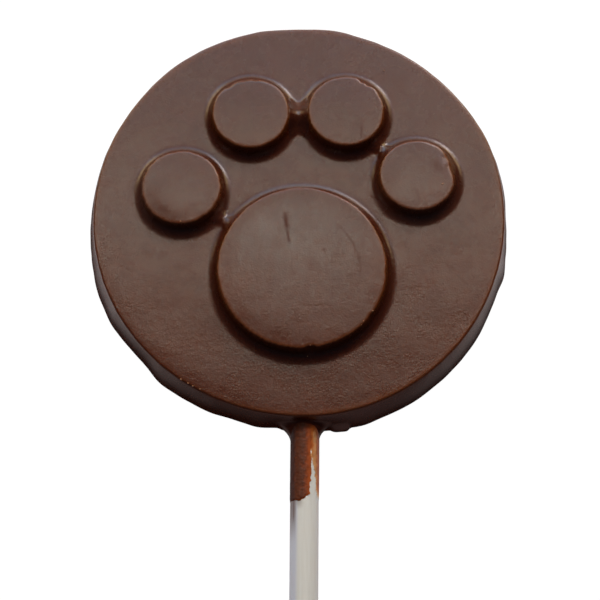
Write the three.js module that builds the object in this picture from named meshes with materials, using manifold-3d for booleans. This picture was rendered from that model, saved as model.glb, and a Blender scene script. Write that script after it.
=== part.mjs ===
// Paw print lollipop: a round moulded chocolate with a raised paw print, cast round the end of a
// paper stick. It lies on its flat back with the paw up. Millimetres, +Z up, the stick runs to -Y,
// and the origin is the middle of the flat back.

import * as THREE from "three";
import { mergeVertices } from "three/addons/utils/BufferGeometryUtils.js";
import Module from "manifold-3d";

const wasm = await Module();
wasm.setup();

// Disc: a drafted wall that bulges a little, from a wide back to a smaller face
const FACE_RADIUS = 30;
const BACK_RADIUS = 31.1;
const DISC_THICKNESS = 6;
const FACE_EDGE_ROUND = 0.4;
const BACK_EDGE_ROUND = 0.3;
const DISC_SIDES = 96;
const WALL_STEPS = 5;

// Paw: a heel pad and four toes, each a low drum with a crowned top and a drafted wall, on a hollow
// fillet. Draft is in degrees from upright.
const PADS = {
  heel: { x: 0.38, y: -8.95, topRadius: 12.12, height: 2.58, crown: 0.08, draft: 13, sides: 64 },
  toe_outer_left: { x: -17.1, y: 3.5, topRadius: 5.74, height: 2.46, crown: 0.08, draft: 11, sides: 40 },
  toe_inner_left: { x: -7.07, y: 15.27, topRadius: 5.66, height: 2.41, crown: 0.08, draft: 11, sides: 40 },
  toe_inner_right: { x: 7.03, y: 15.44, topRadius: 5.61, height: 2.46, crown: 0.08, draft: 11, sides: 40 },
  toe_outer_right: { x: 17.3, y: 5.17, topRadius: 5.53, height: 2.46, crown: 0.08, draft: 11, sides: 40 },
};
const PAD_EDGE_ROUND = 0.3;
const PAD_FILLET = 1.55;
const PAD_SINK = 0.04;
const PAD_ROOT = 1.5;
const CROWN_STEPS = 2;
const FILLET_STEPS = 5;

// Saddles of chocolate between pads that stand close: the pads, the heights at the middle and at the
// pads, half the width, and steps along and across
const SADDLES = [
  { pads: ["toe_inner_left", "toe_inner_right"], low: 1.4, high: 2.15, reach: 3.4, steps: [12, 12] },
  { pads: ["toe_inner_right", "toe_outer_right"], low: 0.32, high: 0.9, reach: 1.7, steps: [8, 8] },
  { pads: ["toe_outer_left", "heel"], low: 0.26, high: 0.8, reach: 1.7, steps: [8, 8] },
];
const SADDLE_DIP = 0.4;
const SADDLE_FLARE = 0.9;
const SADDLE_OVERLAP = 0.9;

// Stick: rolled paper, set in the chocolate a little nearer the back than the face
const STICK_DIAMETER = 4;
const STICK_LENGTH = 114;
const STICK_DEPTH = 34;
const STICK_END_CHAMFER = 0.25;
const STICK_SIDES = 40;
const STICK_EXIT = { x: 0.7, y: -30.8, z: 2.5 };
const STICK_SKEW_DEG = 0.8;
const BORE_GAP = 0.3;

// Collar: the web of chocolate that climbs the stick where it leaves the rim, lower on top than at
// the sides, so that it stays under the face
const COLLAR_REACH = 1.7;
const COLLAR_FLARE = 1.2;
const COLLAR_TOP_SHARE = 0.25;
const COLLAR_WALL = 0.35;
const COLLAR_ROOT = 1.5;
const COLLAR_STEPS = 5;
const COLLAR_SIDES = 40;

const ROUND_STEPS = 3;
const QUARTER_TURN = Math.PI / 2;

// Points on an arc in a radius and height profile, from one angle to another about a centre
function arc(radius, height, round, fromAngle, toAngle, steps) {
  const points = [];
  for (let i = 0; i <= steps; i += 1) {
    const angle = THREE.MathUtils.lerp(fromAngle, toAngle, i / steps);
    points.push(new THREE.Vector2(radius + round * Math.cos(angle), height + round * Math.sin(angle)));
  }
  return points;
}

// A profile turned about Z, as a closed surface
function turned(points, sides) {
  return new THREE.LatheGeometry(points, sides).rotateX(QUARTER_TURN);
}

// A geometry as a solid that can be joined and cut: shared vertices merged, slivers at the axis dropped
function solid(geometry) {
  geometry.deleteAttribute("normal");
  geometry.deleteAttribute("uv");
  const merged = mergeVertices(geometry);
  const corners = merged.index.array;
  const kept = [];
  for (let i = 0; i < corners.length; i += 3) {
    const [a, b, c] = corners.slice(i, i + 3);
    if (a !== b && b !== c && c !== a) {
      kept.push(a, b, c);
    }
  }
  return new wasm.Manifold(
    new wasm.Mesh({
      numProp: 3,
      vertProperties: new Float32Array(merged.attributes.position.array),
      triVerts: new Uint32Array(kept),
    }),
  );
}

// A solid as a geometry again
function surface(body) {
  const mesh = body.getMesh();
  const geometry = new THREE.BufferGeometry();
  geometry.setAttribute("position", new THREE.BufferAttribute(mesh.vertProperties, 3));
  geometry.setIndex(new THREE.BufferAttribute(mesh.triVerts, 1));
  geometry.computeVertexNormals();
  return geometry;
}

// The wall leans in faster towards the face, so that it bulges
function wallRadius(height) {
  return BACK_RADIUS - (BACK_RADIUS - FACE_RADIUS) * (height / DISC_THICKNESS) ** 2;
}

function disc() {
  const topDraft = Math.atan((2 * (BACK_RADIUS - FACE_RADIUS)) / DISC_THICKNESS);
  const edgeHeight = DISC_THICKNESS - FACE_EDGE_ROUND;
  const wallTop = edgeHeight + FACE_EDGE_ROUND * Math.sin(topDraft);
  const points = [new THREE.Vector2(0, 0)];
  const backCentre = wallRadius(BACK_EDGE_ROUND) - BACK_EDGE_ROUND;
  points.push(...arc(backCentre, BACK_EDGE_ROUND, BACK_EDGE_ROUND, -QUARTER_TURN, 0, ROUND_STEPS));
  for (let i = 1; i < WALL_STEPS; i += 1) {
    const height = THREE.MathUtils.lerp(BACK_EDGE_ROUND, wallTop, i / WALL_STEPS);
    points.push(new THREE.Vector2(wallRadius(height), height));
  }
  const faceCentre = wallRadius(wallTop) - FACE_EDGE_ROUND * Math.cos(topDraft);
  points.push(...arc(faceCentre, edgeHeight, FACE_EDGE_ROUND, topDraft, QUARTER_TURN, ROUND_STEPS));
  points.push(new THREE.Vector2(0, DISC_THICKNESS));
  return solid(turned(points, DISC_SIDES));
}

// One pad of the paw, its root sunk in the disc and its fillet ending just under the face
function pad({ x, y, topRadius, height, crown, draft, sides }) {
  const lean = THREE.MathUtils.degToRad(draft);
  const flatRadius = topRadius - PAD_EDGE_ROUND;
  const edgeHeight = height - crown - PAD_EDGE_ROUND;
  const filletHeight = PAD_FILLET - PAD_SINK;
  const wallTop = edgeHeight + PAD_EDGE_ROUND * Math.sin(lean);
  const wallFoot = filletHeight - PAD_FILLET * Math.sin(lean);
  const wallRun = (wallTop - wallFoot) * Math.tan(lean);
  const footRadius = flatRadius + (PAD_EDGE_ROUND + PAD_FILLET) * Math.cos(lean) + wallRun;

  const points = [new THREE.Vector2(0, -PAD_ROOT), new THREE.Vector2(footRadius, -PAD_ROOT)];
  points.push(...arc(footRadius, filletHeight, PAD_FILLET, -QUARTER_TURN, lean - Math.PI, FILLET_STEPS));
  points.push(...arc(flatRadius, edgeHeight, PAD_EDGE_ROUND, lean, QUARTER_TURN, ROUND_STEPS));
  for (let i = 1; i <= CROWN_STEPS; i += 1) {
    const share = 1 - i / CROWN_STEPS;
    points.push(new THREE.Vector2(flatRadius * share, height - crown * share ** 2));
  }
  return solid(turned(points, sides).translate(x, y, DISC_THICKNESS));
}

// A ridge between two pads, lowest at its middle and sunk in the face at its rim
function saddle({ pads, low, high, reach, steps }) {
  const [from, to] = pads.map((name) => PADS[name]);
  const way = new THREE.Vector2(to.x - from.x, to.y - from.y);
  const halfGap = (way.length() - from.topRadius - to.topRadius) / 2;
  const halfLength = halfGap + SADDLE_OVERLAP;
  const rise = Math.hypot(1, 1 / SADDLE_DIP) - 1;
  const geometry = new THREE.BoxGeometry(2 * halfLength, 2, 2, steps[0], steps[1], 1);
  const places = geometry.attributes.position;
  for (let i = 0; i < places.count; i += 1) {
    const along = places.getX(i);
    const across = places.getY(i);
    const climb = (Math.hypot(1, along / halfGap / SADDLE_DIP) - 1) / rise;
    const fade = 1 - THREE.MathUtils.smoothstep(Math.abs(along), halfGap, halfLength);
    const ridge = Math.cos(across * QUARTER_TURN) ** 3 * fade;
    const top = (low + (high - low) * climb + PAD_SINK) * ridge - PAD_SINK;
    places.setY(i, across * (reach + SADDLE_FLARE * Math.abs(along)));
    places.setZ(i, places.getZ(i) > 0 ? top : -PAD_ROOT);
  }
  const middle = from.topRadius + halfGap;
  return solid(
    geometry
      .translate(middle, 0, 0)
      .rotateZ(way.angle())
      .translate(from.x, from.y, DISC_THICKNESS),
  );
}

// Turns a solid made along +Z to run out of the rim along the stick's line
function placeOnStickLine(geometry) {
  return geometry
    .rotateX(QUARTER_TURN)
    .rotateZ(-THREE.MathUtils.degToRad(STICK_SKEW_DEG))
    .translate(STICK_EXIT.x, STICK_EXIT.y, STICK_EXIT.z);
}

function boreCutter() {
  const radius = STICK_DIAMETER / 2 + BORE_GAP;
  const deepEnd = -STICK_DEPTH - BORE_GAP;
  const points = [
    new THREE.Vector2(0, deepEnd),
    new THREE.Vector2(radius, deepEnd),
    new THREE.Vector2(radius, 2 * COLLAR_REACH),
    new THREE.Vector2(0, 2 * COLLAR_REACH),
  ];
  return solid(placeOnStickLine(turned(points, STICK_SIDES)));
}

// Pulls in the upper half of a flared form, whose up is +Y here, and leaves its tube as it is
function flattenTop(geometry, tubeRadius) {
  const places = geometry.attributes.position;
  for (let i = 0; i < places.count; i += 1) {
    const across = places.getX(i);
    const up = places.getY(i);
    const radius = Math.hypot(across, up);
    if (radius > tubeRadius && up > 0) {
      const share = 1 - (1 - COLLAR_TOP_SHARE) * (up / radius) ** 2;
      const scale = (tubeRadius + (radius - tubeRadius) * share) / radius;
      places.setXY(i, across * scale, up * scale);
    }
  }
  return geometry;
}

// A trumpet round the stick, wide in the rim and thin at its free end
function collar() {
  const endRadius = STICK_DIAMETER / 2 + BORE_GAP + COLLAR_WALL;
  const rootRadius = endRadius + COLLAR_FLARE;
  const points = [new THREE.Vector2(0, -COLLAR_ROOT), new THREE.Vector2(rootRadius, -COLLAR_ROOT)];
  for (let i = 0; i <= COLLAR_STEPS; i += 1) {
    const share = i / COLLAR_STEPS;
    const radius = endRadius + COLLAR_FLARE * (1 - Math.sin(share * QUARTER_TURN));
    points.push(new THREE.Vector2(radius, COLLAR_REACH * (1 - Math.cos(share * QUARTER_TURN))));
  }
  points.push(new THREE.Vector2(0, COLLAR_REACH));
  return solid(placeOnStickLine(flattenTop(turned(points, COLLAR_SIDES), endRadius)));
}

// Everything above the plane that the back lies in
function aboveBack() {
  const side = 4 * BACK_RADIUS;
  return solid(new THREE.BoxGeometry(side, side, side).translate(0, 0, side / 2));
}

function chocolate() {
  let body = disc();
  for (const form of Object.values(PADS)) {
    body = body.add(pad(form));
  }
  for (const form of SADDLES) {
    body = body.add(saddle(form));
  }
  body = body.add(collar()).subtract(boreCutter()).intersect(aboveBack());
  const material = new THREE.MeshStandardMaterial({ color: 0x4a332c, roughness: 0.45, metalness: 0 });
  const mesh = new THREE.Mesh(surface(body), material);
  mesh.name = "chocolate";
  return mesh;
}

function stick() {
  const radius = STICK_DIAMETER / 2;
  const freeEnd = STICK_LENGTH - STICK_DEPTH;
  const points = [
    new THREE.Vector2(0, -STICK_DEPTH),
    new THREE.Vector2(radius - STICK_END_CHAMFER, -STICK_DEPTH),
    new THREE.Vector2(radius, -STICK_DEPTH + STICK_END_CHAMFER),
    new THREE.Vector2(radius, freeEnd - STICK_END_CHAMFER),
    new THREE.Vector2(radius - STICK_END_CHAMFER, freeEnd),
    new THREE.Vector2(0, freeEnd),
  ];
  const material = new THREE.MeshStandardMaterial({ color: 0xd8d3cb, roughness: 0.8, metalness: 0 });
  const mesh = new THREE.Mesh(turned(points, STICK_SIDES), material);
  mesh.rotation.set(QUARTER_TURN, 0, -THREE.MathUtils.degToRad(STICK_SKEW_DEG), "ZYX");
  mesh.position.set(STICK_EXIT.x, STICK_EXIT.y, STICK_EXIT.z);
  mesh.name = "stick";
  return mesh;
}

const lollipop = new THREE.Group();
lollipop.name = "paw_print_lollipop";
lollipop.add(chocolate(), stick());

export default lollipop;
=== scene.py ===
# Paw print lollipop: a moulded chocolate head with a raised paw, a rolled paper stick, the smear of
# chocolate on the stick and the crumbs on the edges. Sizes are in millimetres and scaled by MM.
# +Z is out of the paw face, the stick runs to -Y, and the origin is the middle of the flat back.

import math

import bmesh
import bpy
import numpy as np
from mathutils import Matrix, Vector
from mathutils.geometry import delaunay_2d_cdt


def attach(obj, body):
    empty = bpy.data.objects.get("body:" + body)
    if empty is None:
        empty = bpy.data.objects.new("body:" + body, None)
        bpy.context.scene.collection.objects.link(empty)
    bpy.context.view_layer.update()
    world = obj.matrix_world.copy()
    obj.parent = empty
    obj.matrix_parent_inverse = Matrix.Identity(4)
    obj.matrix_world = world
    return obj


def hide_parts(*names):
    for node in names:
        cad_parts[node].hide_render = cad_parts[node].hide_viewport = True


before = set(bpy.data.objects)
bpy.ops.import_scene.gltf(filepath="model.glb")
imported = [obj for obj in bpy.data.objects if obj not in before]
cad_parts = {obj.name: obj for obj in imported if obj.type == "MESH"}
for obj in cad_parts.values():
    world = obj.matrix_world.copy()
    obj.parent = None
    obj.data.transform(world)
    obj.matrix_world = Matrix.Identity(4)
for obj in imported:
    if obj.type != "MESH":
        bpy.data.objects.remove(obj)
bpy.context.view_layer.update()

MM = 0.001
FULL_TURN = 2 * math.pi

# Disc
FACE_RADIUS = 30.0
BACK_RADIUS = 31.1
DISC_THICKNESS = 6.0
FACE_EDGE_ROUND = 0.4
BACK_EDGE_ROUND = 0.3
RIM_COLUMNS = 720
RIM_WALL_ROWS = 16
RIM_ARC_ROWS = 5

# Paw: low drums whose profile runs over a soft shoulder, a small edge round, a drafted wall and a fillet
# with a long tail. Angles are in degrees, slopes from level and drafts from upright.
SHOULDER_RADIUS, SHOULDER_SLOPE = 2.6, 8
PAD_EDGE_ROUND = 0.3
PAD_FILLET = 1.55
TAIL_RADIUS, TAIL_SLOPE = 2.4, 12
SHOULDER_STEPS, EDGE_STEPS, WALL_STEPS, FILLET_STEPS, TAIL_STEPS = 3, 7, 5, 9, 5

# Stick
STICK_RADIUS = 2.0
STICK_LENGTH = 114.0
STICK_DEPTH = 34.0
STICK_END_CHAMFER = 0.25
STICK_EXIT = np.array([0.7, -30.8, 2.5])
STICK_SKEW = math.radians(0.8)
STICK_OUT = np.array([-math.sin(STICK_SKEW), -math.cos(STICK_SKEW), 0.0])
STICK_SIDE = np.array([math.cos(STICK_SKEW), -math.sin(STICK_SKEW), 0.0])
STICK_UP = np.array([0.0, 0.0, 1.0])

# Collar: how far the chocolate climbs the stick on its right, left, upper and lower sides
COLLAR_RIGHT = 2.28
COLLAR_LEFT = 2.62
COLLAR_TOP = 0.60
COLLAR_BOTTOM = 0.42
COLLAR_OFF_STICK = 0.012
COLLAR_OFF_BACK = 0.15
BORE_RADIUS = 2.04


def smooth(low, high, value):
    """0 at low, 1 at high, level at both ends."""
    share = np.clip((value - low) / (high - low), 0.0, 1.0)
    return share * share * (3 - 2 * share)


def hump(value, middle, width):
    """A bell of height 1."""
    return np.exp(-(((value - middle) / width) ** 2))


def turn_between(angle, middle):
    """The angle measured from another, from minus to plus half a turn, in radians."""
    return (angle - middle + math.pi) % FULL_TURN - math.pi


def waves(x, y, length, seed, count=14):
    """Smooth noise of about unit height, made of plane waves in drawn directions."""
    draw = np.random.default_rng(seed)
    total = np.zeros(np.shape(x))
    for _ in range(count):
        way, phase = draw.uniform(0, FULL_TURN, 2)
        rate = FULL_TURN / (length * draw.uniform(0.7, 1.5))
        total += np.sin(rate * (x * math.cos(way) + y * math.sin(way)) + phase)
    return total / math.sqrt(count)


class Pad:
    """One pad of the paw, with the radii and heights of its profile worked out."""

    def __init__(self, x, y, top_radius, height, crown, draft, points):
        slope, shoulder, tail = (math.radians(v) for v in (90 - draft, SHOULDER_SLOPE, TAIL_SLOPE))
        self.x, self.y, self.points, self.height, self.crown = x, y, points, height, crown
        self.top_radius = top_radius
        arcs = [(SHOULDER_RADIUS, 0, shoulder, SHOULDER_STEPS), (PAD_EDGE_ROUND, shoulder, slope, EDGE_STEPS),
                (PAD_FILLET, slope, tail, FILLET_STEPS), (TAIL_RADIUS, tail, 0, TAIL_STEPS)]
        wall_drop = height - crown - sum(r * abs(math.cos(a) - math.cos(b)) for r, a, b, _ in arcs)
        out, down = [0.0], [0.0]
        for part, (round_radius, start, end, steps) in enumerate(arcs):
            if part == 2:
                share = np.linspace(0, 1, WALL_STEPS + 1)[1:] * wall_drop
                out += list(out[-1] + share / math.tan(slope))
                down += list(down[-1] + share)
            turned = np.linspace(start, end, steps + 1)[1:]
            out += list(out[-1] + round_radius * np.abs(np.sin(turned) - math.sin(start)))
            down += list(down[-1] + round_radius * np.abs(np.cos(turned) - math.cos(start)))
        top_step = SHOULDER_STEPS + EDGE_STEPS
        self.flat = top_radius - out[top_step]
        self.out, self.level = np.array(out), height - crown - np.array(down)
        self.edge = self.flat + self.out[SHOULDER_STEPS]
        self.wall_foot = self.flat + self.out[top_step + WALL_STEPS]
        self.foot = self.flat + self.out[-1]

    def radius(self, x, y):
        return np.hypot(x - self.x, y - self.y)

    def angle(self, x, y):
        return np.arctan2(y - self.y, x - self.x)

    def ring_radii(self):
        """Where the profile turns, from the top's edge down to the face."""
        return [self.flat - 0.4, self.flat - 0.2, *(self.flat + self.out), self.foot + 0.15, self.foot + 0.4]

    def height_at(self, past):
        """Height above the face by the distance outside the flat top's rim."""
        top = self.height - self.crown * (1 + past / self.flat) ** 2
        return np.where(past < 0, top, np.interp(past, self.out, self.level))


PADS = {
    "heel": Pad(0.38, -8.95, 12.12, 2.58, 0.08, 13, 360),
    "toe_outer_left": Pad(-17.1, 3.5, 5.74, 2.46, 0.08, 11, 200),
    "toe_inner_left": Pad(-7.07, 15.27, 5.66, 2.41, 0.08, 11, 200),
    "toe_inner_right": Pad(7.03, 15.44, 5.61, 2.46, 0.08, 11, 200),
    "toe_outer_right": Pad(17.3, 5.17, 5.53, 2.46, 0.08, 11, 200),
}
# Saddles of chocolate between pads that stand close: two pads, the heights at the middle and at the pads, half the
# width, how much painted shade darkens and dulls the crest beside its middle to hide its highlight, and how glossy
# the middle is
WEBS = [
    ("toe_inner_left", "toe_inner_right", 1.40, 2.15, 3.40, 0.6, 0.0),
    ("toe_inner_right", "toe_outer_right", 0.32, 0.90, 1.70, 0.0, 1.0),
    ("toe_outer_left", "heel", 0.26, 0.80, 1.70, 0.0, 0.5),
]
WEB_DIP = 0.4
WEB_FLARE = 1.0
WEB_BLEND = 0.6

# Places where a pad's edge is pushed in: pad, degrees round it, half width along the edge, depth
EDGE_DENTS = [
    ("toe_inner_left", 127, 0.75, 0.32),
    ("toe_inner_left", 98, 1.60, 0.10),
    ("toe_inner_left", 82, 0.50, 0.10),
    ("toe_inner_right", 64, 0.50, 0.30),
    ("toe_inner_right", 52, 0.75, 0.34),
    ("toe_outer_right", 12, 1.90, 0.56),
    ("toe_outer_right", 33, 0.45, 0.16),
    ("toe_outer_left", -55, 0.40, 0.10),
    ("heel", -85, 0.70, 0.30),
    ("heel", -82, 0.30, 0.14),
    ("heel", -4, 0.45, 0.12),
    ("heel", -37, 0.35, 0.10),
    ("heel", 90, 3.0, -0.10),
    ("heel", 24, 2.8, 0.12),
    ("heel", 150, 2.4, 0.10),
]
# Places where a pad's top sinks towards its edge: pad, degrees, half width in degrees, reach inwards, depth
EDGE_SLUMPS = [
    ("toe_outer_left", -150, 56, 2.0, 0.15),
    ("toe_inner_left", 97, 30, 0.35, 0.28),
    ("toe_outer_right", 95, 40, 0.15, 0.12),
    ("toe_outer_left", 95, 40, 0.15, 0.10),
    ("toe_outer_right", 28, 26, 1.6, 0.14),
    ("heel", -128, 40, 2.4, 0.06),
]
# Scratches on the tops: from, to, half width, depth, how dark. The two without depth are patches of painted shade,
# in toe4's dent and on toe1's slumped lower left.
SCRATCHES = [
    ((-1.98, -1.1), (-1.72, -3.2), 0.34, 0.055, 1.0),
    ((-1.72, -3.2), (-1.44, -5.3), 0.19, 0.035, 0.9),
    ((9.18, 13.0), (9.20, 11.1), 0.12, 0.018, 0.70),
    ((19.7, 7.2), (20.6, 6.0), 0.60, 0.0, 0.35),
    ((-21.6, 2.9), (-18.7, -1.1), 1.15, 0.0, 0.22),
    ((-0.2, -14.75), (4.4, -14.85), 0.13, 0.006, 0.30),
    ((3.50, -6.5), (3.62, -6.9), 0.16, 0.020, 0.35),
    ((7.7, 17.3), (8.6, 17.0), 0.10, 0.012, 0.2),
    ((-19.3, 7.1), (-18.9, 5.9), 0.12, 0.010, 0.15),
]
# A faint ring segment on the heel, where the moulded top steps down, with a line of painted shade along the step:
# middle, radius, from and to degrees
HEEL_STEP_MIDDLE = (-0.6, -9.6)
HEEL_STEP_RADIUS = 9.3
HEEL_STEP_DEPTH = 0.020
HEEL_STEP_LINE = 0.55
# A pale haze on the heel, thickest at its upper left, partly bloom and partly painted sheen: middle, width, share
BLOOM_AND_SHEEN_SPOTS = [((-4.6, -4.0), 6.5, 0.95), ((3.2, -6.0), 9.5, 1.0)]
# Fainter pale hazes, partly bloom and partly painted sheen, on the face's left side and on the outer toes' lower
# halves
FACE_BLOOM_AND_SHEEN_SPOTS = [((-26.0, 1.0), 9.0, 0.35), ((17.0, 2.6), 4.6, 0.55), ((-16.3, 1.2), 4.0, 0.35)]

# Unevenness of the face's edge and of the back's edge: degrees round the disc, half width, how far out
FACE_EDGE_SWELLS = [
    (110, 13, 0.26), (128, 12, 0.26), (-16, 14, -0.10), (57, 20, 0.15), (80, 5, 0.20), (77, 9, 0.08),
    (24, 12, 0.20), (100, 3, 0.12), (-76, 24, 0.30),
]
BACK_EDGE_SWELLS = [
    (-3, 9, -0.24), (0.5, 4.5, -0.34), (-14.5, 3, 0.27), (-25, 8, -0.22), (-32, 9, 0.12),
    (-57, 18, 0.28), (-62, 8, 0.12), (-73.8, 4.9, 0.38), (-96.5, 3.0, -0.34), (-108, 4.3, -0.28),
    (-128, 5.5, 0.16), (-131, 3.5, 0.21), (-138, 8, -0.26), (-151, 4, 0.14), (-158, 10, 0.24),
    (-163, 5, 0.10), (171, 9, -0.30),
]
# The face sinks towards its edge at the lower left: degrees, half width, from this radius on, depth
FACE_SLUMP = (-140, 46, 26.5, 0.09)
# How much of the edge colour, partly wear and partly painted glow, the face's own edge takes, and how much painted
# shade darkens and dulls the rim round the stick
RIM_WEAR_AND_GLOW = 0.6
COLLAR_SHADE = 0.9
# How dark and dull the pads' far walls are painted, at the heel's sides and the toes' far middles: painted shade
# that tones down their highlight
FAR_WALL_DULL = 0.34
# Lips of chocolate on the back's edge, as swells with flat tops and steep ends
BACK_EDGE_LIPS = [(-79.4, 2.3, 0.49), (-83.8, 2.4, 0.15), (-94.2, 1.3, 0.14)]

# Crumbs: x, y, width, height. They sit half sunk in the surface. Those at (20.9, 3.7) and (-17.1, -1.9) stand
# where the toes' edges glint, so their pale colour is partly a painted highlight.
CRUMBS = [
    (10.35, -15.6, 0.22, 0.12), (9.0, -17.1, 0.20, 0.10), (8.7, -17.65, 0.16, 0.10),
    (-17.4, 16.4, 0.16, 0.07), (1.0, 23.1, 0.16, 0.08), (12.9, 23.0, 0.18, 0.08),
    (20.9, 3.7, 0.26, 0.07), (-17.1, -1.9, 0.26, 0.12), (9.95, 12.1, 0.12, 0.06),
    (-16.8, -24.8, 0.20, 0.12), (-15.8, -25.4, 0.17, 0.10), (-15.1, -25.8, 0.22, 0.12),
    (-14.1, -26.25, 0.16, 0.10), (-1.07, 29.4, 0.16, 0.08), (21.1, 7.9, 0.12, 0.07),
    (22.2, 6.4, 0.11, 0.06), (-5.7, 20.4, 0.11, 0.06), (1.5, -20.9, 0.16, 0.10),
    (1.1, -21.7, 0.14, 0.09), (12.3, -8.6, 0.10, 0.06), (-9.3, -16.4, 0.09, 0.05),
]


def distance_to_scratch(x, y, start, end):
    """Distance from a line, and the share of the way along it."""
    (ax, ay), (bx, by) = start, end
    run, rise = bx - ax, by - ay
    share = np.clip(((x - ax) * run + (y - ay) * rise) / (run**2 + rise**2), 0, 1)
    return np.hypot(x - ax - share * run, y - ay - share * rise), share


def pad_gaps(x, y):
    """Distance outside the rim of each pad's flat top."""
    return np.stack([pad.radius(x, y) - pad.flat for pad in PADS.values()])


def web_places(x, y):
    """For each web, the places from its middle along the line between the pads and across it, half the gap
    between the pads' edges, and the web's own sizes."""
    for one, other, *sizes in WEBS:
        a, b = PADS[one], PADS[other]
        span = math.hypot(b.x - a.x, b.y - a.y)
        way_x, way_y = (b.x - a.x) / span, (b.y - a.y) / span
        middle = 0.5 * (span + a.top_radius - b.top_radius)
        dx, dy = x - a.x - middle * way_x, y - a.y - middle * way_y
        half_gap = 0.5 * (span - a.top_radius - b.top_radius)
        yield dx * way_x + dy * way_y, dy * way_x - dx * way_y, half_gap, sizes


def paw_height(x, y):
    """Height of the paw's clean form over the face."""
    height = np.zeros_like(x)
    for pad, past in zip(PADS.values(), pad_gaps(x, y)):
        height = np.maximum(height, pad.height_at(past))
    for along, across, half_gap, (low, high, reach, *_) in web_places(x, y):
        half = reach + WEB_FLARE * (np.hypot(along, 0.3) - 0.3)
        ridge = np.cos(0.5 * math.pi * np.clip(across / half, -1, 1)) ** 3
        ridge *= 1 - smooth(half_gap - 0.1, half_gap + 0.9, np.abs(along))
        climb = (np.hypot(1, along / half_gap / WEB_DIP) - 1) / (math.hypot(1, 1 / WEB_DIP) - 1)
        web = (low + (high - low) * climb) * ridge
        blend = WEB_BLEND * smooth(0, 0.3, web) * (1 - smooth(half_gap - 0.3, half_gap, np.abs(along))) + 1e-9
        height = np.maximum(height, web) + np.clip(blend - np.abs(height - web), 0, None) ** 2 / (4 * blend)
    return height


def marks(x, y):
    """How deep and how dark the scratches are at each place, how much painted shade darkens the saddles' crests,
    and how glossy the saddles are.
    """
    depth = np.zeros_like(x)
    dark = np.zeros_like(x)
    for start, end, half_width, deep, shade in SCRATCHES:
        away, share = distance_to_scratch(x, y, start, end)
        wander = 0.25 * half_width * np.sin(9 * share)
        cut = hump(away, wander, half_width) * (0.55 + 0.45 * np.sin(math.pi * share))
        depth = np.maximum(depth, deep * cut)
        dark = np.maximum(dark, shade * cut)
    gloss = np.zeros_like(x)
    for along, across, half_gap, (*_, dull, shine) in web_places(x, y):
        # Painted shade that darkens and dulls the crest beside its middle
        beside = smooth(0.2, 0.45, np.abs(along)) * (1 - smooth(half_gap, half_gap + 0.4, np.abs(along)))
        dark = np.maximum(dark, dull * beside * hump(across, 0.1, 0.5))
        gloss = np.maximum(gloss, shine * hump(along, 0, 0.8) * hump(across, 0, 1.3))
    return depth, dark, gloss


def heel_step(x, y):
    """The faint step on the heel's right side: its depth, and how strongly its painted shade line shows."""
    dx, dy = x - HEEL_STEP_MIDDLE[0], y - HEEL_STEP_MIDDLE[1]
    angle = np.degrees(np.arctan2(dy, dx))
    along = smooth(-22, 10, angle) * (1 - smooth(40, 62, angle))
    past = np.hypot(dx, dy) - HEEL_STEP_RADIUS
    step = HEEL_STEP_DEPTH * along * smooth(-0.35, 0.35, past) * (1 - smooth(0.6, 2.2, past))
    return step, HEEL_STEP_LINE * along * hump(past, 0, 0.16)


def push_edges_in(points):
    """Moves the pads' edges inwards at their dents, most at the top and not at all at the foot."""
    x, y, z = points.T
    moved = points.copy()
    for seed, (name, pad) in enumerate(PADS.items()):
        radius, angle = pad.radius(x, y), pad.angle(x, y)
        near = smooth(pad.edge - 1.2, pad.edge, radius) * (1 - smooth(pad.wall_foot, pad.foot, radius))
        share = smooth(0.15, 0.9, (z - DISC_THICKNESS) / pad.height)
        round_it = angle * pad.top_radius
        inwards = 0.028 * waves(round_it, 0 * angle, 2.2, 40 + seed, 6) * share
        inwards += 0.024 * waves(round_it, 0 * angle, 0.55, 60 + seed, 6) * share
        for owner, degrees, half_width, depth in EDGE_DENTS:
            if owner == name:
                along = turn_between(angle, math.radians(degrees)) * pad.top_radius
                inwards += depth * hump(along, 0, half_width) * share
        for owner, degrees, half_width, reach, depth in EDGE_SLUMPS:
            if owner == name:
                along = np.degrees(turn_between(angle, math.radians(degrees)))
                sunk = depth * hump(along, 0, half_width) * smooth(pad.edge - reach, pad.top_radius, radius)
                moved[:, 2] -= np.where(radius < pad.foot, sunk * share, 0)
        moved[:, 0] -= inwards * near * np.cos(angle)
        moved[:, 1] -= inwards * near * np.sin(angle)
    return moved


def edge_swell(angle, swells, power=2):
    """How far an edge stands out from its circle. A greater power gives flatter tops and steeper ends."""
    total = np.zeros_like(angle)
    for degrees, half_width, out in swells:
        away = np.abs(np.degrees(turn_between(angle, math.radians(degrees)))) / half_width
        total += out * np.exp(-(away**power))
    return total


def swell(points):
    """Moves points outwards by the unevenness of the face's and the back's edges."""
    x, y, z = points.T
    radius, angle = np.hypot(x, y), np.arctan2(y, x)
    up = np.clip(z / DISC_THICKNESS, 0, 1)
    fine = 0.016 * waves(radius * np.cos(angle), radius * np.sin(angle), 3.0, 5)
    out = up * edge_swell(angle, FACE_EDGE_SWELLS) + (1 - up) * edge_swell(angle, BACK_EDGE_SWELLS)
    out += (1 - smooth(0.1, 0.5, up)) * edge_swell(angle, BACK_EDGE_LIPS, 6)
    out = (out + fine) * smooth(25.0, 29.4, radius)
    moved = points.copy()
    moved[:, 0] += out * np.cos(angle)
    moved[:, 1] += out * np.sin(angle)
    degrees, half_width, start, depth = FACE_SLUMP
    along = np.degrees(turn_between(angle, math.radians(degrees)))
    sunk = np.clip((radius - start) / (FACE_RADIUS - start), 0, 1) ** 3 * smooth(0.5, 0.9, up)
    moved[:, 2] -= depth * hump(along, 0, half_width) * sunk
    return moved


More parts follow.
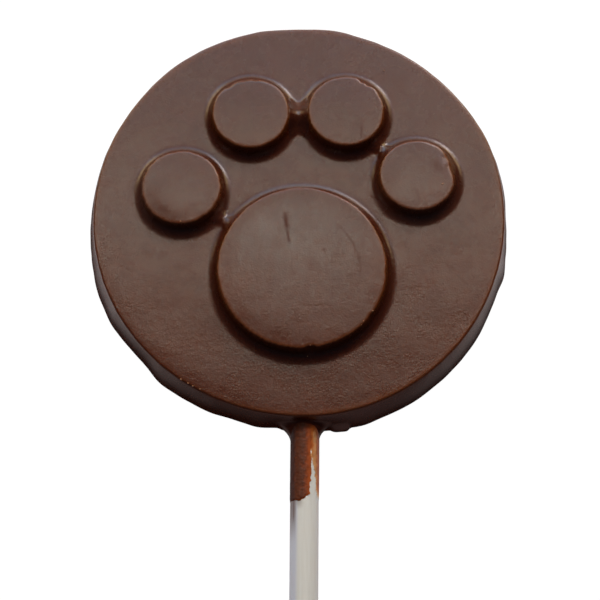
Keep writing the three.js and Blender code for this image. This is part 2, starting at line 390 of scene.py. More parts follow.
def face_surface(x, y):
    """The moulded face at each place in plan, with its edge wear and painted glow, its marks and painted shade,
    and its bloom and painted sheen.
    """
    clean = paw_height(x, y)
    depth, dark, gloss = marks(x, y)
    undulation = 0.012 * waves(x, y, 11.0, 11) + 0.0035 * waves(x, y, 3.2, 12) + 0.0009 * waves(x, y, 0.9, 13)
    level = 1 - smooth(FACE_RADIUS - 2.0, FACE_RADIUS - 0.8, np.hypot(x, y))
    step, step_line = heel_step(x, y)
    z = DISC_THICKNESS + clean - depth - step + undulation * level
    # The heel step's line is painted shade
    dark = np.maximum(dark, step_line)
    edge, wall = np.zeros((2, *x.shape))
    for name, pad in PADS.items():
        radius, angle = pad.radius(x, y), pad.angle(x, y)
        # Painted shade: the pads' walls and fillets are darker, less so on the far side that faces the lamps
        side = smooth(pad.edge, pad.top_radius, radius) * (1 - smooth(pad.wall_foot + 0.3, pad.foot, radius))
        far = smooth(0.1, 0.7, np.sin(angle))
        wall = np.maximum(wall, side * (1 - 0.6 * far))
        # Painted shade that dims the far walls' highlight
        aside = smooth(0.3, 0.7, np.abs(np.cos(angle))) if name == "heel" else smooth(0.75, 0.9, np.sin(angle))
        beyond = smooth(pad.edge, pad.top_radius, radius) * (1 - smooth(pad.foot - 0.3, pad.foot + 0.3, radius))
        dark = np.maximum(dark, FAR_WALL_DULL * far * aside * beyond)
        # Edge colour on the pads' top edges: partly wear, partly painted glow where the edges catch the light
        band = 0.50 * smooth(pad.flat - 0.1, pad.edge, radius)
        band += 0.50 * smooth(pad.edge - 0.06, pad.edge + 0.1, radius)
        edge = np.maximum(edge, band * (1 - smooth(pad.top_radius, pad.wall_foot + 0.1, radius)))
    points = swell(push_edges_in(np.stack([x, y, z], axis=1)))
    heel = PADS["heel"].radius(x, y)
    # Pale haze: partly bloom, partly painted sheen
    bloom_and_sheen = sum(share * hump(np.hypot(x - a, y - b), 0, width) for (a, b), width, share in BLOOM_AND_SHEEN_SPOTS)
    bloom_and_sheen *= 1 - smooth(PADS["heel"].flat - 2.0, PADS["heel"].flat, heel)
    for (a, b), width, share in FACE_BLOOM_AND_SHEEN_SPOTS:
        bloom_and_sheen = np.maximum(bloom_and_sheen, share * hump(np.hypot(x - a, y - b), 0, width))
    return points, {"edge_wear_and_glow": edge, "marks_and_shade": dark, "bloom_and_sheen": bloom_and_sheen, "gloss": gloss, "wall": wall}


def even_grid(reach, spacing):
    """Staggered points over a square from minus to plus reach."""
    row_step = spacing * math.sqrt(3) / 2
    rows = np.arange(-math.ceil(reach / row_step), math.ceil(reach / row_step) + 1)
    columns = np.arange(-math.ceil(reach / spacing), math.ceil(reach / spacing) + 1)
    column, row = np.meshgrid(columns, rows)
    return np.stack([(column * spacing + (row % 2) * spacing / 2).ravel(), (row * row_step).ravel()], axis=1)


def ring(radius, count, x=0.0, y=0.0):
    angle = np.linspace(0, FULL_TURN, count, endpoint=False)
    return np.stack([x + radius * np.cos(angle), y + radius * np.sin(angle)], axis=1)


def scratch_clearance(points):
    """Distance from the nearest fine patch round a scratch or the heel's step."""
    away = np.full(len(points), 99.0)
    for start, end, half_width, deep, _ in SCRATCHES:
        distance, _ = distance_to_scratch(points[:, 0], points[:, 1], start, end)
        away = np.minimum(away, distance - 3 * half_width if deep > 0 else 99.0)
    arc = np.abs(np.hypot(*(points - HEEL_STEP_MIDDLE).T) - HEEL_STEP_RADIUS)
    away = np.minimum(away, np.where(heel_step(*points.T)[1] > 0, arc - 0.4, 99.0))
    return away


FACE_GRID = 0.36
MARK_GRID = 0.10
WEB_GRID = 0.16


def in_web(points):
    """Whether a place is on or beside a saddle between two pads."""
    inside = np.zeros(len(points), bool)
    for along, across, half_gap, (_, _, reach, *_) in web_places(*points.T):
        inside |= (np.abs(along) < half_gap + 0.2) & (np.abs(across) < reach + 1.2)
    return inside & (pad_gaps(*points.T).min(axis=0) > 1.2)


def face_plan(edge_radius):
    """Places over the face in plan. The last of them are the ring that the rim shares."""
    groups = []
    for pad in PADS.values():
        rings = np.concatenate([ring(r, pad.points, pad.x, pad.y) for r in pad.ring_radii()])
        own = pad.radius(*rings.T) - pad.flat
        others = np.min([p.radius(*rings.T) - p.flat for p in PADS.values() if p is not pad], axis=0)
        groups.append(rings[(own < others - 0.04) & ~in_web(rings)])
    fine = even_grid(FACE_RADIUS, MARK_GRID)
    groups.append(fine[scratch_clearance(fine) < 0])
    webs = even_grid(FACE_RADIUS, WEB_GRID)
    groups.append(webs[in_web(webs)])
    grid = even_grid(FACE_RADIUS, FACE_GRID)
    kept = (np.hypot(*grid.T) < edge_radius - 0.6 * FACE_GRID) & (scratch_clearance(grid) > 0.5 * MARK_GRID)
    kept &= ~in_web(grid)
    for pad in PADS.values():
        radius = pad.radius(*grid.T)
        kept &= (radius < pad.flat - 0.6) | (radius > pad.foot + 0.6)
    groups.append(grid[kept])
    groups.append(ring(edge_radius, RIM_COLUMNS))
    return np.concatenate(groups)


def triangles(points):
    """Delaunay triangles over points in a plane, wound anticlockwise."""
    places, _, faces, *_ = delaunay_2d_cdt([Vector(p) for p in points.tolist()], [], [], 0, 1e-7, False)
    if len(places) != len(points):
        raise ValueError("two points of the plan lie in one place")
    corners = np.array(faces)
    a, b, c = (points[corners[:, i]] for i in range(3))
    turn = (b[:, 0] - a[:, 0]) * (c[:, 1] - a[:, 1]) - (b[:, 1] - a[:, 1]) * (c[:, 0] - a[:, 0])
    corners[turn < 0] = corners[turn < 0][:, ::-1]
    return corners[np.abs(turn) > 1e-9]


def rim_profile():
    """Radii and heights down the rim, from the face's ring to the back's."""
    bulge = BACK_RADIUS - FACE_RADIUS
    top_lean = math.atan(2 * bulge / DISC_THICKNESS)
    edge_z = DISC_THICKNESS - FACE_EDGE_ROUND
    wall_top = edge_z + FACE_EDGE_ROUND * math.sin(top_lean)

    def wall(height):
        return BACK_RADIUS - bulge * (height / DISC_THICKNESS) ** 2

    face_middle = wall(wall_top) - FACE_EDGE_ROUND * math.cos(top_lean)
    back_middle = wall(BACK_EDGE_ROUND) - BACK_EDGE_ROUND
    rows = []
    for a in np.linspace(math.pi / 2, top_lean, RIM_ARC_ROWS + 2):
        rows.append((face_middle + FACE_EDGE_ROUND * math.cos(a), edge_z + FACE_EDGE_ROUND * math.sin(a)))
    for height in np.linspace(wall_top, BACK_EDGE_ROUND, RIM_WALL_ROWS + 1)[1:]:
        rows.append((wall(height), height))
    for a in np.linspace(0, -math.pi / 2, RIM_ARC_ROWS)[1:]:
        rows.append((back_middle + BACK_EDGE_ROUND * math.cos(a), BACK_EDGE_ROUND * (1 + math.sin(a))))
    return np.array(rows).T


def collar_climb(turn):
    """How far the collar reaches out from the stick, by the angle round it (0 is +X, a quarter is up)."""
    across, up = np.cos(turn), np.sin(turn)
    side = np.where(across > 0, COLLAR_RIGHT, COLLAR_LEFT)
    end = np.where(up > 0, COLLAR_TOP, COLLAR_BOTTOM)
    share = across**2 * np.where(up > 0, across**4, 1)
    room = (STICK_EXIT[2] - COLLAR_OFF_BACK) / np.maximum(-up, 0.01) - STICK_RADIUS - COLLAR_OFF_STICK
    return np.minimum(side * share + end * (1 - share), room)


def raise_collar(points):
    """Draws the rim out along the stick, in a quarter round that meets both."""
    from_exit = points - STICK_EXIT
    across, up = from_exit @ STICK_SIDE, from_exit @ STICK_UP
    climb = collar_climb(np.arctan2(up, across))
    left = np.clip(1 - (np.hypot(across, up) - STICK_RADIUS) / climb, 0, 1) * (points[:, 1] < 0)
    return points + (climb * (1 - np.sqrt(1 - left**2)))[:, None] * STICK_OUT


RIM_PATCH_COLUMNS = 52
COLLAR_RINGS = 14
COLLAR_POINTS = 96
BORE_RINGS = 4


def rim_patch(radii, heights, depths, columns):
    """The rim round the stick: plan places, real places and triangles, with the bore through them.

    The first places are the patch's frame of rim columns and rows, in the order of `columns`.
    """
    angle_step = FULL_TURN / RIM_COLUMNS
    frame_places = [(c, r) for c in columns for r in range(len(depths))
                    if c in (columns[0], columns[-1]) or r in (0, len(depths) - 1)]
    inner_places = [(c, r) for c in columns[1:-1] for r in range(1, len(depths) - 1)]

    def lattice(places):
        c, r = np.array(places).T
        turn = c * angle_step
        plan = np.stack([turn * BACK_RADIUS, -depths[r]], axis=1)
        real = np.stack([radii[r] * np.cos(turn), radii[r] * np.sin(turn), heights[r]], axis=1)
        return plan, real

    frame_plan, frame_real = lattice(frame_places)
    inner_plan, inner_real = lattice(inner_places)
    from_exit = inner_real - STICK_EXIT
    across, up = from_exit @ STICK_SIDE, from_exit @ STICK_UP
    room = np.hypot(across, up) - STICK_RADIUS - collar_climb(np.arctan2(up, across))
    inner_plan, inner_real = inner_plan[room > 0.12], inner_real[room > 0.12]

    turn = np.linspace(0, FULL_TURN, COLLAR_POINTS, endpoint=False)
    share = np.linspace(0, 1, COLLAR_RINGS) ** 1.6
    ring_real = []
    for part in share:
        reach = STICK_RADIUS + COLLAR_OFF_STICK + part * collar_climb(turn)
        across, height = reach * np.cos(turn), STICK_EXIT[2] + reach * np.sin(turn)
        radius = np.interp(height, heights[::-1], radii[::-1])
        start = STICK_EXIT[:2] + across[:, None] * STICK_SIDE[:2]
        half = start @ STICK_OUT[:2]
        run = -half + np.sqrt(half**2 + radius**2 - (start**2).sum(axis=1))
        flat = start + run[:, None] * STICK_OUT[:2]
        ring_real.append(np.column_stack([flat, height]))
    ring_real = np.concatenate(ring_real)
    turn_at = np.arctan2(ring_real[:, 1], ring_real[:, 0]) % FULL_TURN
    ring_plan = np.stack([turn_at * BACK_RADIUS, -np.interp(-ring_real[:, 2], -heights, depths)], axis=1)

    middle = ring_plan[:COLLAR_POINTS].mean(axis=0)
    bore_plan, bore_real = [], []
    deep_end = -(STICK_DEPTH + 0.05)
    for step in range(1, BORE_RINGS + 1):
        bore_plan.append(middle + (ring_plan[:COLLAR_POINTS] - middle) * (1 - step / (BORE_RINGS + 1)))
        along = [0.0, 0.5 * deep_end, deep_end, deep_end][step - 1]
        radius = [BORE_RADIUS, BORE_RADIUS, BORE_RADIUS, 0.5 * BORE_RADIUS][step - 1]
        circle = np.cos(turn)[:, None] * STICK_SIDE + np.sin(turn)[:, None] * STICK_UP
        bore_real.append(STICK_EXIT + along * STICK_OUT + radius * circle)
    bore_plan.append(middle[None])
    bore_real.append((STICK_EXIT + deep_end * STICK_OUT)[None])

    outside = np.concatenate([frame_real, inner_real, ring_real])
    outside = raise_collar(swell(outside))
    plan = np.concatenate([frame_plan, inner_plan, ring_plan, *bore_plan])
    return frame_places, plan, np.concatenate([outside, *bore_real]), triangles(plan)


def chocolate_head():
    """The whole moulding as one closed mesh: face with paw, rim, collar, bore and back."""
    radii, heights = rim_profile()
    depths = np.concatenate([[0], np.cumsum(np.hypot(np.diff(radii), np.diff(heights)))])
    rows = len(radii)
    plan = face_plan(radii[0])
    face, values = face_surface(*plan.T)
    face_ring = len(plan) - RIM_COLUMNS

    turn = np.arange(RIM_COLUMNS) * FULL_TURN / RIM_COLUMNS
    rim = [np.stack([radii[r] * np.cos(turn), radii[r] * np.sin(turn), np.full(RIM_COLUMNS, heights[r])], axis=1)
           for r in range(1, rows)]
    rim = raise_collar(swell(np.concatenate(rim)))

    def rim_index(column, row):
        return face_ring + column % RIM_COLUMNS + row * RIM_COLUMNS

    faces = [triangles(plan)]
    middle = round(math.atan2(STICK_EXIT[1], STICK_EXIT[0]) % FULL_TURN / FULL_TURN * RIM_COLUMNS)
    patch = list(range(middle - RIM_PATCH_COLUMNS // 2, middle + RIM_PATCH_COLUMNS // 2 + 1))
    column, row = np.meshgrid(np.arange(patch[-1], patch[0] + RIM_COLUMNS), np.arange(rows - 1))
    column, row = column.ravel(), row.ravel()
    a, b = rim_index(column, row), rim_index(column + 1, row)
    c, d = rim_index(column + 1, row + 1), rim_index(column, row + 1)
    faces += [np.stack([a, d, c], axis=1), np.stack([a, c, b], axis=1)]

    frame_places, _, patch_real, patch_faces = rim_patch(radii, heights, depths, patch)
    count = face_ring + RIM_COLUMNS * rows
    lookup = np.arange(len(patch_real)) + count - len(frame_places)
    lookup[: len(frame_places)] = [rim_index(*place) for place in frame_places]
    faces.append(lookup[patch_faces])

    back_grid = even_grid(BACK_RADIUS, 1.0)
    back_grid = back_grid[np.hypot(*back_grid.T) < radii[-1] - 0.5]
    back_plan = np.concatenate([back_grid, ring(radii[-1], RIM_COLUMNS)])
    hollow = 0.03 * smooth(0, 6, radii[-1] - np.hypot(*back_grid.T)) * (1 + 0.5 * waves(*back_grid.T, 9.0, 21))
    back = np.column_stack([back_grid, np.clip(hollow, 0, None)])
    back_start = count + len(patch_real) - len(frame_places)
    lookup = np.arange(len(back_plan)) + back_start
    lookup[len(back_grid):] = [rim_index(i, rows - 1) for i in range(RIM_COLUMNS)]
    faces.append(lookup[triangles(back_plan)][:, ::-1])

    points = np.concatenate([face, rim, patch_real[len(frame_places):], back])
    values = {name: np.pad(value, (0, len(points) - len(face))) for name, value in values.items()}
    radius = np.hypot(points[:, 0], points[:, 1])
    # The face's own edge takes the same colour: partly wear, partly painted glow along its round
    edge = RIM_WEAR_AND_GLOW * smooth(29.2, 29.75, radius) * smooth(5.3, 5.75, points[:, 2]) * (radius < 31)
    degrees, half_width, *_ = FACE_SLUMP
    away = turn_between(np.arctan2(points[:, 1], points[:, 0]), math.radians(degrees))
    edge *= 1 - 0.7 * hump(np.degrees(away), 0, half_width)
    values["edge_wear_and_glow"] = np.maximum(values["edge_wear_and_glow"], edge)
    # Painted shade: the rim round the stick is darker and duller
    from_exit = points - STICK_EXIT
    beside = np.hypot(from_exit @ STICK_SIDE, from_exit @ STICK_UP)
    shade = COLLAR_SHADE * hump(beside, 0, 4.2) * (points[:, 1] < STICK_EXIT[1] + 2) * (points[:, 2] < 5)
    values["marks_and_shade"] = np.maximum(values["marks_and_shade"], shade)
    return points, np.concatenate(faces), values


def add_piece(name, points, faces, material, slot, values=()):
    """A mesh in millimetres as a piece of the object, riding on its body, with values stored at its points."""
    mesh = bpy.data.meshes.new(name)
    mesh.from_pydata((points * MM).tolist(), [], [list(map(int, f)) for f in faces])
    mesh.update()
    mesh.shade_smooth()
    for key, numbers in dict(values).items():
        layer = mesh.attributes.new(key, "FLOAT", "POINT")
        layer.data.foreach_set("value", numbers.astype(np.float32))
    mesh.materials.append(material)
    piece = bpy.data.objects.new(name, mesh)
    bpy.context.scene.collection.objects.link(piece)
    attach(piece, "root")
    return piece


STICK_SIDES = 96
STICK_STEPS = 228
PAPER_TURNS = 5
PAPER_SEAM_STEP = 0.05


def on_stick(turn, along, radius):
    """A point by its angle round the stick, its distance out from the rim and its radius."""
    circle = np.cos(turn)[..., None] * STICK_SIDE + np.sin(turn)[..., None] * STICK_UP
    return STICK_EXIT + along[..., None] * STICK_OUT + radius[..., None] * circle


def paper_stick():
    """The rolled paper stick: a seam along the underside, a rolled end, and painted shade down its left and right
    flanks.
    """
    turn = np.linspace(0, FULL_TURN, STICK_SIDES, endpoint=False) - math.pi / 2
    ends = STICK_END_CHAMFER
    along = np.concatenate([
        [-STICK_DEPTH, -STICK_DEPTH + ends],
        np.linspace(-STICK_DEPTH + 2 * ends, STICK_LENGTH - STICK_DEPTH - 2 * ends, STICK_STEPS),
        [STICK_LENGTH - STICK_DEPTH - ends, STICK_LENGTH - STICK_DEPTH],
    ])
    drop = np.zeros(len(along))
    drop[[0, -1]] = ends
    turn_grid, along_grid = np.meshgrid(turn, along)
    from_seam = np.arange(STICK_SIDES) / STICK_SIDES
    seam = -PAPER_SEAM_STEP * hump(from_seam, 0.0, 0.02)
    uneven = 0.008 * waves(turn_grid * 2.0, along_grid * 0.12, 1.6, 31)
    radius = STICK_RADIUS - drop[:, None] + seam[None, :] + uneven
    points = on_stick(turn_grid, along_grid, radius).reshape(-1, 3)
    faces = []
    for i in range(len(along) - 1):
        for j in range(STICK_SIDES):
            k = (j + 1) % STICK_SIDES
            faces.append((i * STICK_SIDES + j, i * STICK_SIDES + k,
                          (i + 1) * STICK_SIDES + k, (i + 1) * STICK_SIDES + j))
    extra, extra_faces = [], []
    for end_row, way in ((0, -1), (len(along) - 1, 1)):
        start = len(points) + sum(map(len, extra))
        previous = [end_row * STICK_SIDES + j for j in range(STICK_SIDES)]
        for step in range(1, 17):
            share = 1 - step / 17
            spiral = np.full(STICK_SIDES, share * (STICK_RADIUS - ends))
            roll = 0.035 * np.sin(FULL_TURN * (PAPER_TURNS * share + np.arange(STICK_SIDES) / STICK_SIDES))
            place = np.full(STICK_SIDES, along[end_row]) - way * (0.035 + roll)
            extra.append(on_stick(turn, place, spiral))
            current = [start + (step - 1) * STICK_SIDES + j for j in range(STICK_SIDES)]
            for j in range(STICK_SIDES):
                k = (j + 1) % STICK_SIDES
                quad = (previous[j], previous[k], current[k], current[j])
                extra_faces.append(quad if way > 0 else quad[::-1])
            previous = current
        extra.append((STICK_EXIT + (along[end_row] - way * 0.03) * STICK_OUT)[None])
        hub = start + 16 * STICK_SIDES
        for j in range(STICK_SIDES):
            k = (j + 1) % STICK_SIDES
            extra_faces.append((previous[j], previous[k], hub) if way > 0 else (previous[k], previous[j], hub))
    points = np.concatenate([points, *extra])
    degrees = np.degrees(turn_grid.ravel()) % 360
    out = along_grid.ravel()
    flank_shade, stain = np.zeros((2, len(points)))
    # Painted shade on the stick's flanks, strongest on its left
    left = smooth(112, 130, degrees) * (1 - smooth(200, 230, degrees))
    right = 0.4 * (1 - smooth(20, 48, degrees)) + 0.4 * smooth(300, 330, degrees)
    fading = 0.75 * (1 - smooth(12.0, 17.5, out)) * smooth(120, 132, degrees)
    streak = hump(degrees, 139, 5) * (1 - smooth(13.2, 15.0, out))
    flank_shade[: len(degrees)] = np.maximum(left, right)
    below_smear = 0.45 * smooth(88, 112, degrees) * (1 - smooth(200, 230, degrees)) * (1 - smooth(11.2, 12.4, out))
    stain[: len(degrees)] = np.maximum.reduce([left * fading, streak, below_smear]) * smooth(9.5, 10.5, out)
    return points, faces + extra_faces, {"flank_shade": flank_shade, "stain": stain}


FILM_THICK = 0.11
FILM_BARE = 0.015
FILM_UNDER = 0.03
FILM_CLEARANCE = 0.018
FILM_FROM, FILM_TO = 0.0, 12.6
# Where the rim's dark shade on the smear ends, on its left and on its right, and the share on its far left
FILM_SHADE_LEFT, FILM_SHADE_RIGHT, FILM_SHADE_ASIDE = 2.2, 0.9, 0.85
FILM_ROWS = 170
FILM_COLUMNS = 190
# The veil over the stick's right side by degrees round the stick: thin and pale on its shoulder
VEIL_DEGREES = (-34, -20, 5, 25, 42, 52, 66, 85, 95)
VEIL_FILM = (0.0, 0.30, 0.34, 0.22, 0.06, 0.07, 0.15, 0.26, 0.34)


def film_share(turn, along):
    """The smear's thickness as a share of its greatest, by degrees round the stick and distance from the rim."""
    t = turn + 2.2 * waves(turn * 0.03, along, 2.4, 52) + 2.0 * waves(turn * 0.03, along, 0.8, 57)
    t += 1.0 * waves(turn * 0.03, along, 0.35, 58)
    y = along + 0.05 * waves(turn * 0.05, along, 1.1, 51)
    end = 10.98 + 0.1 * hump(t, 115, 12) - 0.75 * (1 - smooth(72, 104, t))
    before_end = 1 - smooth(end - 0.30, end + 0.10, y)
    body = smooth(64, 98, t) * (1 - smooth(206, 222, t)) * before_end
    body *= 1 - 0.25 * hump(t, 146, 8) * smooth(2.6, 4.2, y)
    body *= 1 + 0.08 * waves(turn * 0.035, along, 1.3, 53) + 0.09 * waves(turn * 0.035, along, 0.6, 54)
    border_right = 64 + 1.4 * np.clip(y - 5.5, 0, 6)
    border = 0.30 * smooth(border_right - 3, border_right + 3, t) * (1 - smooth(100, 110, t)) * before_end
    veil = np.interp(t, VEIL_DEGREES, VEIL_FILM) + 0.12 * (1 - smooth(0.2, 1.5, y)) * smooth(-34, -10, t)
    veil *= 1 - 0.97 * hump(t, 66, 4.5) * smooth(3.4, 3.9, y)
    veil *= 1 - smooth(4.6, 5.3, y + 0.03 * (t - 60))
    wedge_right = 62 - 22 * smooth(4.6, 9.0, y) - 2.5 * np.clip(y - 9.0, 0, 2.5)
    strip = np.interp(t, (-20, 2, 22, 38, 60), (0.0, 0.30, 0.20, 0.07, 0.04))
    strip *= (1 - smooth(wedge_right - 7, wedge_right + 7, t)) * (1 - smooth(8.2, 11.0, y)) * smooth(3.4, 5.0, y)
    bare_streak = 1 - hump(t, 66, 4) * hump(y, 4.15, 0.55)
    return np.maximum.reduce([body, border, veil, strip]) * bare_streak - FILM_BARE


def chocolate_smear():
    """The smear as a thin closed shell that lies on the stick."""
    turn = np.linspace(-45, 232, FILM_COLUMNS)
    along = np.linspace(FILM_FROM, FILM_TO, FILM_ROWS)
    turn_grid, along_grid = np.meshgrid(turn, along)
    thickness = FILM_THICK * film_share(turn_grid, along_grid)
    radians = np.radians(turn_grid)
    lift = np.clip(thickness * (1 - 0.6 * smooth(120, 175, turn_grid)), 0.002, None)
    outer = on_stick(radians, along_grid, STICK_RADIUS + FILM_CLEARANCE + lift)
    inner = on_stick(radians, along_grid, np.full_like(thickness, STICK_RADIUS - FILM_UNDER))
    index = np.arange(thickness.size).reshape(thickness.shape)
    quads = np.stack([index[:-1, :-1], index[:-1, 1:], index[1:, 1:], index[1:, :-1]], axis=-1).reshape(-1, 4)
    covered = quads[(thickness.ravel()[quads] > 0).all(axis=1)]
    edges = {}
    for quad in covered.tolist():
        for a, b in zip(quad, quad[1:] + quad[:1]):
            if (b, a) in edges:
                del edges[(b, a)]
            else:
                edges[(a, b)] = True
    shift = thickness.size
    faces = covered.tolist() + (covered[:, ::-1] + shift).tolist()
    faces += [(b, a, a + shift, b + shift) for a, b in edges]
    points = np.concatenate([outer.reshape(-1, 3), inner.reshape(-1, 3)])
    film = np.concatenate([thickness.ravel()] * 2)
    # Painted shade on the smear: darker and duller next to the rim and along its far left
    reach = FILM_SHADE_RIGHT + (FILM_SHADE_LEFT - FILM_SHADE_RIGHT) * smooth(55, 95, turn_grid)
    aside = FILM_SHADE_ASIDE * smooth(124, 140, turn_grid)
    shaded = np.maximum(1 - smooth(-0.4, 1.0, along_grid / reach), aside)
    by_rim = np.concatenate([shaded.ravel()] * 2)
    used = np.unique(np.concatenate([np.array(f) for f in faces]))
    renumber = np.zeros(len(points), int)
    renumber[used] = np.arange(len(used))
    values = {"film": film[used] / FILM_THICK, "by_rim": by_rim[used]}
    return points[used], [renumber[list(f)] for f in faces], values


def chocolate_crumbs():
    """Small broken crumbs, half sunk in the surface where the edges are chipped."""
    draw = np.random.default_rng(71)
    points, faces = [], []
    for x, y, width, height in CRUMBS:
        ball = bmesh.new()
        bmesh.ops.create_icosphere(ball, subdivisions=2, radius=1.0)
        shape = np.array([v.co for v in ball.verts])
        corners = [[v.index for v in f.verts] for f in ball.faces]
        ball.free()
        shape *= (1 + 0.22 * waves(shape[:, 0] + 3 * shape[:, 2], shape[:, 1] - 2 * shape[:, 2], 1.6,
                                   int(draw.integers(1000))))[:, None]
        spin = draw.uniform(0, FULL_TURN)
        long, short = 0.5 * width * draw.uniform(1.0, 1.5), 0.5 * width
        flat = shape[:, :2] * (long, short)
        turned = flat @ np.array([[math.cos(spin), math.sin(spin)], [-math.sin(spin), math.cos(spin)]])
        place = face_surface(np.array([x]), np.array([y]))[0][0]
        faces += [[i + sum(map(len, points)) for i in c] for c in corners]
        points.append(np.column_stack([turned, shape[:, 2] * height]) + place)
    return np.concatenate(points), faces


class Shading:
    """A material's node tree, with short calls for the nodes that the materials here share."""

    def __init__(self, name):
        self.material = bpy.data.materials.new(name)
        self.material.use_nodes = True
        self.nodes, self.links = self.material.node_tree.nodes, self.material.node_tree.links
        self.surface = self.nodes["Principled BSDF"]
        self.place = self.nodes.new("ShaderNodeTexCoord").outputs["Object"]

    def link(self, source, target):
        self.links.new(source, target)

    def stretched(self, scale):
        """Object coordinates, scaled apart along each axis."""
        node = self.nodes.new("ShaderNodeMapping")
        node.inputs["Scale"].default_value = scale
        self.link(self.place, node.inputs["Vector"])
        return node.outputs["Vector"]

    def noise(self, size, detail=2.0, roughness=0.5, place=None):
        """Noise with features of about a size in millimetres, from 0 to 1."""
        node = self.nodes.new("ShaderNodeTexNoise")
        node.inputs["Scale"].default_value = 1 / (size * MM)
        node.inputs["Detail"].default_value = detail
        node.inputs["Roughness"].default_value = roughness
        self.link(place or self.place, node.inputs["Vector"])
        return node.outputs["Fac"]

    def stored(self, name):
        node = self.nodes.new("ShaderNodeAttribute")
        node.attribute_name = name
        return node.outputs["Fac"]

    def between(self, value, low, high, to_low=0.0, to_high=1.0):
        node = self.nodes.new("ShaderNodeMapRange")
        node.inputs["From Min"].default_value = low
        node.inputs["From Max"].default_value = high
        node.inputs["To Min"].default_value = to_low
        node.inputs["To Max"].default_value = to_high
        self.link(value, node.inputs["Value"])
        return node.outputs["Result"]

    def product(self, first, second):
        node = self.nodes.new("ShaderNodeMath")
        node.operation = "MULTIPLY"
        self.link(first, node.inputs[0])
        self.link(second, node.inputs[1])
        return node.outputs[0]

    def mix(self, share, first, second):
        """A colour between two, each a colour or a node's output."""
        node = self.nodes.new("ShaderNodeMix")
        node.data_type = "RGBA"
        self.link(share, node.inputs["Factor"])
        for socket, colour in ((node.inputs[6], first), (node.inputs[7], second)):
            if isinstance(colour, tuple):
                socket.default_value = (*colour, 1.0)
            else:
                self.link(colour, socket)
        return node.outputs[2]

    def bump(self, height, depth, under=None):
        """Fine relief of a depth in millimetres."""
        node = self.nodes.new("ShaderNodeBump")
        node.inputs["Strength"].default_value = 1.0
        node.inputs["Distance"].default_value = depth * MM
        self.link(height, node.inputs["Height"])
        if under is not None:
            self.link(under, node.inputs["Normal"])
        return node.outputs["Normal"]

    def set(self, name, value):
        self.surface.inputs[name].default_value = value

    def drive(self, name, source):
        self.link(source, self.surface.inputs[name])


CHOCOLATE_DEEP = (0.054, 0.0094, 0.0021)
CHOCOLATE_BODY = (0.064, 0.0114, 0.0025)
CHOCOLATE_SHADE = (0.032, 0.0050, 0.0010)
CHOCOLATE_EDGE = (0.190, 0.058, 0.013)
CHOCOLATE_MARKS_AND_SHADE = (0.065, 0.0150, 0.0060)
CHOCOLATE_BLOOM_AND_SHEEN = (0.16, 0.14, 0.13)
CHOCOLATE_FLECK = (0.22, 0.105, 0.045)


def chocolate_material():
    """Moulded milk chocolate: mottled brown, satin, with a faint orange-peel skin, redder edges that are partly
    wear and partly painted glow, painted shade on walls, saddles and round the stick, and pale haze that is partly
    bloom and partly painted sheen.
    """
    shade = Shading("moulded_chocolate")
    colour = shade.mix(shade.between(shade.noise(6.0, 3), 0.35, 0.65), CHOCOLATE_DEEP, CHOCOLATE_BODY)
    colour = shade.mix(shade.between(shade.noise(0.5, 2), 0.45, 0.75, 0.0, 0.07), colour, CHOCOLATE_EDGE)
    colour = shade.mix(shade.between(shade.noise(0.30, 3, 0.7), 0.50, 0.66, 0.0, 0.11), colour, CHOCOLATE_FLECK)
    # Painted shade on the pads' walls and fillets
    colour = shade.mix(shade.between(shade.stored("wall"), 0, 1, 0, 0.66), colour, CHOCOLATE_SHADE)
    # Redder edges: partly wear, partly painted edge glow
    colour = shade.mix(shade.between(shade.stored("edge_wear_and_glow"), 0, 1, 0, 0.5), colour, CHOCOLATE_EDGE)
    # Pale haze, streaked like bloom, partly bloom and partly painted sheen
    streaks = shade.noise(0.9, 4, 0.65, shade.stretched((1.0, 0.22, 1.0)))
    haze = shade.product(shade.stored("bloom_and_sheen"), shade.between(streaks, 0.32, 0.68, 0.11, 0.39))
    colour = shade.mix(haze, colour, CHOCOLATE_BLOOM_AND_SHEEN)
    # Marks and painted shade: scratches, with painted shade round the stick, along the heel's step, on the
    # saddles' crests and on the far walls, in colour and in a duller gloss
    colour = shade.mix(shade.stored("marks_and_shade"), colour, CHOCOLATE_MARKS_AND_SHADE)
    shade.drive("Base Color", colour)
    grain = shade.between(shade.noise(0.28, 2, 0.6), 0.35, 0.65, 0.90, 1.10)
    shade.drive("Specular IOR Level", shade.product(grain, shade.between(shade.stored("marks_and_shade"), 0, 1, 0.5, 0.05)))
    satin = shade.between(shade.noise(2.5, 3), 0.3, 0.7, 0.24, 0.30)
    shade.drive("Roughness", shade.product(satin, shade.between(shade.stored("gloss"), 0, 1, 1.0, 0.45)))
    peel = shade.bump(shade.noise(0.75, 1), 0.016)
    shade.drive("Normal", shade.bump(shade.noise(0.26, 2), 0.019, peel))
    shade.set("IOR", 1.5)
    shade.set("Subsurface Weight", 0.15)
    shade.set("Subsurface Radius", (1.0, 0.35, 0.15))
    shade.set("Subsurface Scale", 0.5 * MM)
    return shade.material


def crumb_material():
    """Freshly broken chocolate, lighter and duller than the moulded skin."""
    shade = Shading("broken_chocolate")
    colour = shade.mix(shade.noise(0.12, 2), (0.22, 0.09, 0.045), (0.42, 0.22, 0.12))
    shade.drive("Base Color", colour)
    shade.set("Roughness", 0.45)
    shade.drive("Normal", shade.bump(shade.noise(0.08, 2), 0.004))
    return shade.material


PAPER_LIGHT = (0.72, 0.76, 0.75)
PAPER_DULL = (0.68, 0.71, 0.69)
PAPER_FLANK_SHADE = (0.55, 0.61, 0.76)
PAPER_STAIN = (0.15, 0.10, 0.09)


